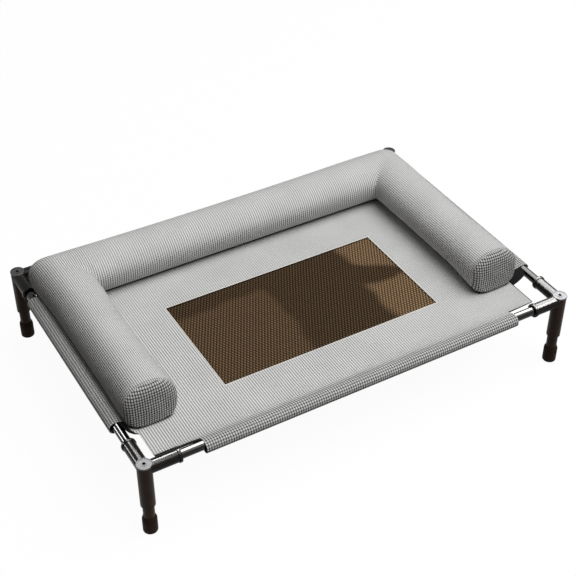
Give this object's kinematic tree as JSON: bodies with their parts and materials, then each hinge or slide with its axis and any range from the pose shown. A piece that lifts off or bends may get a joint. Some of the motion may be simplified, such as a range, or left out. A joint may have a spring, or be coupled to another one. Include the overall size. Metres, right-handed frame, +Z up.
{
  "type": "raised dog cot",
  "caption": "Raised pet cot: bolted tube frame on rubber feet, stretched cloth deck with a mesh window, and a loose U-shaped bolster round three sides.",
  "frame": {"origin": "on the floor, under the middle of the rectangle of the four legs", "axes": "+X along the long side to the right as seen from the open front, +Y to the back, +Z up"},
  "size_m": [0.8272, 0.5672, 0.2164],
  "materials": {
    "fitting": "gloss, moulded, near black",
    "bolt": "satin plated",
    "plug": "moulded",
    "leg": "satin powder coat, brown black",
    "foot": "satin rubber",
    "rail": "polished gunmetal plating",
    "deck_cloth": "coarse plain weave, light grey",
    "mesh": "open coated mesh, dark bronze",
    "bolster_cloth": "coarse plain weave, light grey",
    "fill": "loose polyester fibre"
  },
  "bodies": {
    "frame": {"corner_fitting_fl": "fitting", "corner_fitting_fr": "fitting", "corner_fitting_bl": "fitting", "corner_fitting_br": "fitting", "corner_bolt_fl": "bolt", "corner_bolt_fr": "bolt", "corner_bolt_bl": "bolt", "corner_bolt_br": "bolt", "leg_plug_fl": "plug", "leg_plug_fr": "plug", "leg_plug_bl": "plug", "leg_plug_br": "plug", "leg_tube_fl": "leg", "leg_tube_fr": "leg", "leg_tube_bl": "leg", "leg_tube_br": "leg", "foot_fl": "foot", "foot_fr": "foot", "foot_bl": "foot", "foot_br": "foot", "rail_front": "rail", "rail_back": "rail", "rail_left": "rail", "rail_right": "rail", "deck_cover": "deck_cloth", "mesh_panel": "mesh"},
    "bolster": {"bolster_cover": "bolster_cloth", "bolster_fill": "fill"}
  },
  "joints": [
    {"name": "bolster_lift", "type": "slide", "parent": "frame", "child": "bolster", "axis": [0, 0, 1], "range_m": [0, 0.15]}
  ]
}
